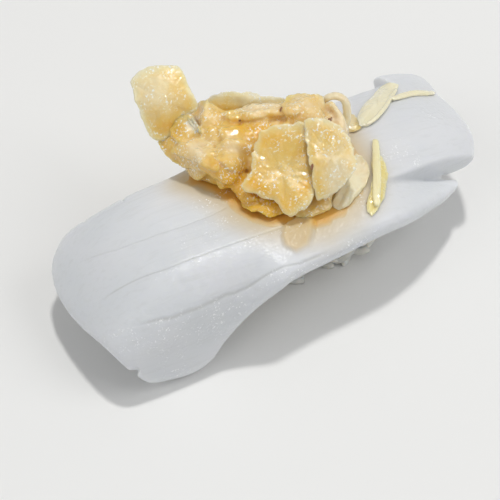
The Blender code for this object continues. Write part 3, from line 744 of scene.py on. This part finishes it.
def giveBody(piece, thickness, rim):
    # thickens a flat grid that holds how far out its points lie, less at its rim
    layer = piece.data.attributes["edge"]
    shares = [entry.value for entry in layer.data]
    group = piece.vertex_groups.new(name="thick")
    for index, out in enumerate(shares):
        group.add([index], rim + (1 - rim) * (1 - rise(0.70, 1.0, out)), "REPLACE")
    step = piece.modifiers.new("body", "SOLIDIFY")
    step.thickness = thickness * mm
    step.offset = 0.0
    step.vertex_group = "thick"
    applyModifiers(piece)
    piece.vertex_groups.clear()


def neighbours(key):
    return [(key[0] + i, key[1] + j) for i in (-1, 0, 1) for j in (-1, 0, 1) if i or j]


def layDepths(spots, trees, cells):
    # how far along the line of sight each point of a grid lies: on the nearest surface, level past its edge
    depths = {}
    for key in sorted(spots, key=lambda key: max(abs(key[0] - cells / 2), abs(key[1] - cells / 2))):
        around = [depths[near] for near in neighbours(key) if near in depths]
        far = firstHit(spots[key], trees)[0]
        if around:
            guess = sum(around) / len(around)
            if far is None or abs(far - guess) > 1.2 * mm:
                far = guess
        depths[key] = far
    return depths


def makeDrape(facts, trees, seed=0.0):
    # a thin shaving laid on what lies below it, its outline where the photograph shows it
    cells = facts.get("cells", 34)
    edge = edgeLoop(facts["seen"])
    piece = newGrid(facts["name"], cells)
    spots, outs = {}, {}
    for vertex in piece.data.vertices:
        share, out = aroundAndOut(vertex.co)
        key = (round((vertex.co.x + 1) * cells / 2), round((vertex.co.y + 1) * cells / 2))
        tear = edge.torn(share, facts.get("ragged", 0.3), pixelsPerMm, seed) - edge.at(share)
        spots[key] = edge.middle + (edge.at(share) - edge.middle) * out + tear * out ** 6
        outs[key] = out
    laid = layDepths(spots, trees, cells)
    depths = dict(laid)
    for _ in range(facts.get("evening", 10)):
        depths = {key: sum(depths.get(near, depths[key]) for near in neighbours(key)) / 8 for key in depths}
        if not facts.get("free"):
            depths = {key: min(laid[key], depths[key]) for key in depths}
    for vertex in piece.data.vertices:
        key = (round((vertex.co.x + 1) * cells / 2), round((vertex.co.y + 1) * cells / 2))
        start, way = sightLine(spots[key])
        off = facts["lift"] + facts.get("bulge", 0) * (1 - outs[key] ** 2)
        vertex.co = start + way * (depths[key] - off * mm)
    giveBody(piece, facts.get("thickness", 0.6), facts.get("rim", 0.45))
    return piece


def finishSheet(piece, facts, looks, seed, slot="relish"):
    bpy.context.view_layer.update()
    roughen(piece, facts.get("coarse", 0.09), facts.get("fine", 0.04), seed)
    paint(piece, "soakAndShade", soakAndShadeShare)
    shadeSmooth(piece)
    nodes = [facts["node"]] if "node" in facts else []
    settle(piece, looks[facts["look"]], slot, *nodes)
    return piece


# thin shavings fused onto the heap, from the lowest to the topmost: outlines in pixels of the photograph,
# sizes in mm
layers = [
    dict(name="layerUnder", lift=0.25, bulge=0.2,
         seen=[(158, 141), (162, 151), (169, 159), (183, 168), (196, 169), (206, 173), (216, 180),
               (226, 184), (236, 176), (226, 161), (206, 151), (186, 143), (171, 136)]),
    dict(name="layerFront", lift=0.3, bulge=0.3,
         seen=[(206, 150), (220, 152), (236, 160), (246, 172), (250, 190), (258, 203), (246, 205),
               (236, 196), (226, 185), (214, 178), (204, 166)]),
    dict(name="layerRidge", lift=0.3, bulge=0.4,
         seen=[(172, 126), (180, 114), (191, 114), (199, 125), (204, 138), (199, 147), (187, 146),
               (175, 142), (169, 134)]),
    dict(name="layerGrainy", lift=0.4, bulge=0.5,
         seen=[(192, 110), (198, 102), (206, 99.5), (212, 103), (220, 108), (230, 112), (236, 124),
               (233, 138), (217, 144), (204, 140), (197, 126), (191, 116)]),
    dict(name="layerMiddle", lift=0.35, bulge=0.3,
         seen=[(226, 117), (240, 114), (256, 117), (268, 121), (270, 133), (262, 145), (250, 151),
               (236, 148), (224, 144), (219, 130)]),
    dict(name="layerFlesh", lift=0.4, bulge=0.5, thickness=0.7,
         seen=[(170, 152), (178, 144), (189, 141), (201, 138), (210, 143), (216, 153), (220, 162),
               (217, 172), (205, 168), (195, 162), (183, 157)]),
    dict(name="layerSmooth", lift=0.4, bulge=0.5, thickness=0.7,
         seen=[(216, 146), (224, 139), (236, 138), (248, 142), (257, 148), (258, 157), (252, 167),
               (239, 172), (226, 167), (217, 158)]),
    dict(name="layerBand", lift=0.2, bulge=0.1,
         seen=[(222, 113), (236, 108.5), (252, 105), (268, 103), (284, 103), (298, 105), (296, 114),
               (276, 119), (252, 121), (232, 120)]),
    dict(name="layerRibbon", lift=0.25, bulge=0.1, thickness=0.5, ragged=0.1,
         seen=[(228, 117), (244, 112), (262, 109.5), (280, 108.5), (298, 109), (297, 114), (280, 115),
               (262, 118), (246, 121), (231, 122)]),
    dict(name="layerRidgeTop", lift=0.3, bulge=0.05, ragged=0.45,
         seen=[(281, 106), (288, 96.5), (298, 93.5), (308, 94), (318, 93.5), (324, 98), (326, 108),
               (322, 122), (310, 128), (298, 127), (286, 118)]),
    dict(name="layerCurl", lift=0.5, bulge=0.4, thickness=0.8,
         seen=[(340, 118), (350, 114), (358, 118), (361, 126), (356, 132), (346, 132), (340, 126)]),
]


# the large shavings that stand on the heap, laid on their own faces of the CAD model
shavings = [
    dict(name="relishSliceBack", node="relish_slice_back", lift=0.1, thickness=0.45, bulge=0.0, ragged=0.6,
         evening=40,
         seen=[(202, 106), (206, 99), (212, 95.5), (221, 93), (232, 92.5), (246, 93.5), (258, 95),
               (272, 96.5), (288, 99.5), (293, 106), (290, 114), (270, 116), (250, 117), (230, 117),
               (212, 113)]),
    dict(name="relishSliceLeft", node="relish_slice_left", lift=0.1, thickness=0.7, bulge=0.3, ragged=0.2,
         evening=30,
         seen=[(131, 83), (133, 77), (140, 71.5), (150, 67), (163, 65), (177, 65.5), (183, 73), (188, 84),
               (193, 94), (196.5, 102), (196, 110), (189, 114.5), (182, 123), (175, 133), (166, 139),
               (157, 140.5), (150, 136), (145, 125), (139.5, 112), (134.5, 98)]),
    dict(name="relishSliceRight", node="relish_slice_right", lift=0.6, thickness=0.8, bulge=0.4, ragged=0.45,
         evening=150, backed=True,
         seen=[(305, 122), (312, 118), (320, 117.5), (334, 122.6), (344, 130), (349, 140), (354, 150),
               (356, 160), (355.7, 169), (350, 178), (343, 186), (334, 193), (325, 198), (317, 200),
               (314, 190), (312, 175), (309, 158), (306, 140)]),
    dict(name="relishSliceFront", node="relish_slice_front", lift=0.4, thickness=0.8, bulge=0.3, ragged=0.5,
         evening=100, backed=True,
         seen=[(259, 134), (266, 129), (274, 125), (285, 124), (298, 122.5), (306, 123), (308, 140),
               (311, 158), (315, 175), (316, 188), (313, 197), (309, 205), (300.6, 211), (295, 216),
               (290, 217.5), (284, 213), (281, 209), (277, 202), (264, 198), (256, 194), (247, 191.5),
               (240.5, 186), (245, 179), (251, 170), (252.5, 154)]),
]


# what is put under them, and the heap's foot at the front: pixel, reach, and how far it is pushed in
backing = dict(name="backing", shrink=0.82, lift=-2.4, thickness=4.2, rim=0.6, free=True, evening=60)
foot = [((258, 216), 13, (3, -9)), ((288, 220), 9, (0, -5))]


def makeBacking(facts):
    # the part of the heap that a large shaving leans on, a little smaller than it
    middle = edgeLoop(facts["seen"]).middle
    seen = [middle + (Vector(spot) - middle) * backing["shrink"] for spot in facts["seen"]]
    piece = makeDrape(dict(backing, seen=seen), [treeOf(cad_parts[facts["node"]])])
    for entry in piece.data.attributes["edge"].data:
        entry.value = 0.0
    bpy.context.view_layer.update()
    return piece


def makeHeap(look):
    core = copyOfNode("relish_heap", "relishHeap")
    remesh(core, relish["coreGrain"])
    smooth(core, 12)
    trees = [sliceTree, treeOf(core)]
    sheets = []
    for number, facts in enumerate(layers):
        sheet = makeDrape(facts, trees, number * 5.3)
        bpy.context.view_layer.update()
        trees.append(treeOf(sheet))
        sheets.append(sheet)
    sheets += [makeBacking(facts) for facts in shavings if facts.get("backed")]
    rims = [vertex.co.copy() for sheet in sheets for vertex, entry in
            zip(sheet.data.vertices, sheet.data.attributes["edge"].data) if entry.value > 0.97]
    finder = KDTree(len(rims))
    for index, place in enumerate(rims):
        finder.insert(place, index)
    finder.balance()
    piece = joinAll([core] + sheets, "relishHeap")
    remesh(piece, relish["grain"])
    pushIn(piece, foot)
    smooth(piece, 4)
    roughen(piece, relish["coarse"], relish["fine"])
    paint(piece, "edge", lambda place, normal: 0.86 - 0.3 * rise(0.1, 0.5, finder.find(place)[2] / mm))
    paint(piece, "soakAndShade", soakAndShadeShare)
    shadeSmooth(piece)
    settle(piece, look, "relish", "relish_heap")
    return piece


def makeStrand(name, places, width, height, boxy=1.0, taper=0.85):
    # a strand through places in space (mm), with rounded ends. Boxy under 1 squares its section
    bpy.ops.object.select_all(action="DESELECT")
    bpy.ops.mesh.primitive_uv_sphere_add(segments=20, ring_count=64, radius=1)
    piece = bpy.context.view_layer.objects.active
    piece.name = name
    path = [Vector(place) for place in places]
    for vertex in piece.data.vertices:
        share = 0.5 + math.asin(max(-1.0, min(1.0, vertex.co.z))) / math.pi
        here = pathAt(path, share)
        ahead = (pathAt(path, min(1.0, share + 0.02)) - pathAt(path, max(0.0, share - 0.02))).normalized()
        side = ahead.cross(Vector((0, 0, 1))).normalized()
        up = side.cross(ahead)
        angle = math.atan2(vertex.co.y, vertex.co.x)
        ending = math.sqrt(max(0.0, 1 - abs(2 * share - 1) ** 10))
        full = ending * (taper + (1 - taper) * math.sin(math.pi * share))
        across = math.copysign(abs(math.cos(angle)) ** boxy, math.cos(angle)) * width / 2 * full
        over = math.copysign(abs(math.sin(angle)) ** boxy, math.sin(angle)) * height / 2 * full
        vertex.co = (here + side * across + up * over) * mm
    return piece


def pathAt(path, share):
    # a smooth open curve through the places, from 0 to 1
    last = len(path) - 1
    index = min(last - 1, int(share * last))
    t = share * last - index
    before, start, end, after = [path[min(last, max(0, index + i))] for i in (-1, 0, 1, 2)]
    return 0.5 * (2 * start + (end - before) * t + (2 * before - 5 * start + 4 * end - after) * t**2
                  + (3 * start - before - 3 * end + after) * t**3)


def laidPlaces(spots, trees, lift):
    # pixels of the photograph as places in space (mm), this high over what lies there
    places = []
    for spot in spots:
        start, way = sightLine(spot)
        places.append((start + way * firstHit(spot, trees)[0]) / mm + Vector((0, 0, lift)))
    return places


# the loose pieces in the order they are laid: a sheet by its outline (seen) and a strand by its path (along),
# in pixels of the photograph, and the arch by places in space. Sizes in mm
loose = [
    dict(name="relishSliceFlat", node="relish_slice_flat", look="pale", seed=2, tear=4,
         lift=0.5, bulge=0.4, thickness=0.5, free=True, evening=24,
         seen=[(356, 154), (363, 157), (367.5, 164), (369, 173), (366, 185), (356, 197), (347, 207),
               (336, 210.5), (331, 204), (338, 190), (345, 178), (350, 164)]),
    dict(name="relishArch", node="relish_arch", look="pale", coarse=0.1, seed=3, width=1.7, height=1.2,
         places=[(14.4, 7.6, 28.0), (15.3, 7.4, 30.0), (16.3, 6.8, 31.2), (17.5, 6.0, 31.6),
                 (18.7, 5.0, 30.6), (18.7, 3.9, 28.4), (17.7, 2.9, 25.8), (16.4, 2.0, 24.4)]),
    dict(name="paleStreak", node="relish_heap", look="relish", coarse=0.08, seed=0, width=0.65, height=0.7,
         lift=-0.18, along=[(187, 117), (190.5, 122), (194, 127), (196.5, 133)]),
    dict(name="paleStreak", node="relish_heap", look="relish", coarse=0.08, seed=1, width=0.65, height=0.7,
         lift=-0.18, along=[(191, 117), (194.5, 122), (198, 127), (200.5, 133)]),
    dict(name="gingerSkin", node="ginger_shred", slot="ginger", look="skin", seed=5, tear=2, under=True,
         lift=0.3, bulge=0.3, thickness=0.5, rim=0.3,
         seen=[(372, 157), (381, 156), (385, 163), (388, 174), (387, 186), (384, 197), (378, 209),
               (372, 216), (367.5, 212), (367, 203), (371, 190), (372.5, 175)]),
    dict(name="gingerStick", node="ginger_shred", slot="ginger", look="stick", coarse=0.05, seed=6,
         width=1.6, height=1.15, boxy=0.7, lift=0.45,
         along=[(375, 141), (375.8, 152), (376.3, 166), (376.5, 182), (376.3, 196), (376.5, 208)]),
    dict(name="paleShredWide", node="pale_shred_wide", slot="pale_shaving", look="shred", coarse=0.06, seed=7,
         tear=6, under=True, lift=0.35, bulge=0.5, thickness=0.5, rim=0.4, ragged=0.12,
         seen=[(398.5, 85), (396, 92), (390.7, 101), (380, 117.5), (368.4, 126), (360, 126), (357, 117),
               (363, 106), (372, 97), (379.6, 88), (389, 82.5)]),
    dict(name="paleShredRidge", node="pale_shred_wide", slot="pale_shaving", look="shred", coarse=0.04,
         seed=8, width=0.9, height=0.7, lift=0.1,
         along=[(396.5, 89), (391, 98), (384, 109), (375, 119), (366, 125)]),
    dict(name="paleShredThin", node="pale_shred_thin", slot="pale_shaving", look="strand", coarse=0.06,
         seed=9, width=1.5, height=0.8, boxy=0.8, lift=0.4,
         along=[(391, 100.5), (400, 98), (409, 95.5), (418, 94.5), (427, 94.5), (434, 94)]),
]


def makeLoose(looks, trees):
    for facts in loose:
        if "seen" in facts:
            piece = makeDrape(facts, trees, facts["tear"])
        else:
            places = facts.get("places") or laidPlaces(facts["along"], trees, facts["lift"])
            piece = makeStrand(facts["name"], places, facts["width"], facts["height"], facts.get("boxy", 1.0))
        finishSheet(piece, facts, looks, facts["seed"], facts.get("slot", "relish"))
        if facts.get("under"):
            trees = trees + [treeOf(piece)]


# brown specks: pixel of the photograph, length and width (mm)
specks = [((312, 167), 1.3, 0.55), ((281, 109), 1.2, 0.45), ((331, 119.5), 1.0, 0.4), ((369, 204), 1.2, 1.0),
          ((329, 119), 0.5, 0.4), ((240, 120.5), 0.6, 0.4)]
speckHeight = 0.3 * mm


def makeSpecks(trees, look):
    made = []
    for number, (spot, length, width) in enumerate(specks):
        far, normal = firstHit(spot, trees)
        start, way = sightLine(spot)
        bpy.ops.object.select_all(action="DESELECT")
        bpy.ops.mesh.primitive_uv_sphere_add(segments=16, ring_count=12, radius=0.5)
        speck = bpy.context.view_layer.objects.active
        turn = normal.to_track_quat("Z", "X").to_matrix().to_4x4() @ Matrix.Rotation(number * 1.1, 4, "Z")
        size = Matrix.Diagonal((length * mm, width * mm, speckHeight, 1))
        speck.data.transform(Matrix.Translation(start + way * far) @ turn @ size)
        made.append(speck)
    joined = joinAll(made, "relishSpecks")
    roughen(joined, 0.06, 0.04, 2)
    shadeSmooth(joined)
    settle(joined, look, "relish")


def relishLooks():
    # each look as its pale, middle and deep colour and the colour of its rim
    tones = dict(
        relish=("cream", "honey", "juice", "rim"), pale=("pale", "cream", "honey", "rim"),
        speck=("speck", "speck", "speck", "speck"), skin=("lemon", "yellow", "yellow", "lemon"),
        stick=("lemon", "lemon", "yellow", "lemon"), shred=("pale", "pale", "lemon", "pale"),
        strand=("lemon", "pale", "lemon", "pale"),
    )
    ways = dict(
        relish=dict(), pale=dict(gritAndGlints=0.5, glow=0.4), speck=dict(gritAndGlints=0.2, glow=0.1),
        skin=dict(gritAndGlints=0.5, glow=0.4), stick=dict(gritAndGlints=0.2, fibres=60, glow=0.4),
        shred=dict(gritAndGlints=0.2, fibres=45, glow=0.4), strand=dict(gritAndGlints=0.2, fibres=5, glow=0.4),
    )
    return {name: relishMaterial(name + "Look", *[relish[tone] for tone in tones[name]], **ways[name])
            for name in tones}


looks = relishLooks()
relishHeap = makeHeap(looks["relish"])
trees = [sliceTree, treeOf(relishHeap)]
for number, facts in enumerate(shavings):
    facts.update(look="relish", cells=40, free=True)
    shaving = makeDrape(facts, [treeOf(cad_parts[facts["node"]])], number * 7.3)
    trees.append(treeOf(finishSheet(shaving, facts, looks, number * 3.1)))
makeLoose(looks, trees)
makeSpecks(trees, looks["speck"])
print("stage: relish", len(relishHeap.data.polygons))


# Floor and light

studio = dict(
    floor=(0.84, 0.84, 0.83), world=(0.98, 0.99, 1.0), worldPower=0.36,
    lights=[
        dict(name="keyLight", place=(0.14, 0.14, 0.95), size=0.09, power=3.8, colour=(1.0, 0.99, 0.97)),
        dict(name="fillLight", place=(0.45, -0.40, 0.6), size=0.6, power=1.7, colour=(1.0, 1.0, 1.0)),
        dict(name="sideLight", place=(-0.60, -0.10, 0.5), size=0.6, power=0.9, colour=(1.0, 1.0, 1.0)),
    ],
)


def makeFloor():
    bpy.ops.object.select_all(action="DESELECT")
    bpy.ops.mesh.primitive_plane_add(size=3, location=(0, 0, -0.05 * mm))
    floor = bpy.context.view_layer.objects.active
    floor.name = "floor"
    look, tree, shader, coords = newMaterial("paleFloor")
    shader.inputs["Base Color"].default_value = (*studio["floor"], 1.0)
    shader.inputs["Roughness"].default_value = 0.8
    floor.data.materials.append(look)


def areaLight(name, place, size, power, colour):
    data = bpy.data.lights.new(name, "AREA")
    data.shape = "DISK"
    data.size = size
    data.energy = power
    data.color = colour
    light = bpy.data.objects.new(name, data)
    bpy.context.scene.collection.objects.link(light)
    light.location = place
    light.rotation_euler = (-Vector(place)).to_track_quat("-Z", "Y").to_euler()


def lightStudio():
    world = bpy.data.worlds.new("studio")
    bpy.context.scene.world = world
    world.use_nodes = True
    background = world.node_tree.nodes["Background"]
    background.inputs["Color"].default_value = (*studio["world"], 1.0)
    background.inputs["Strength"].default_value = studio["worldPower"]
    for light in studio["lights"]:
        areaLight(**light)


makeFloor()
lightStudio()
bpy.context.scene.view_settings.view_transform = "Standard"

print("stage: done")
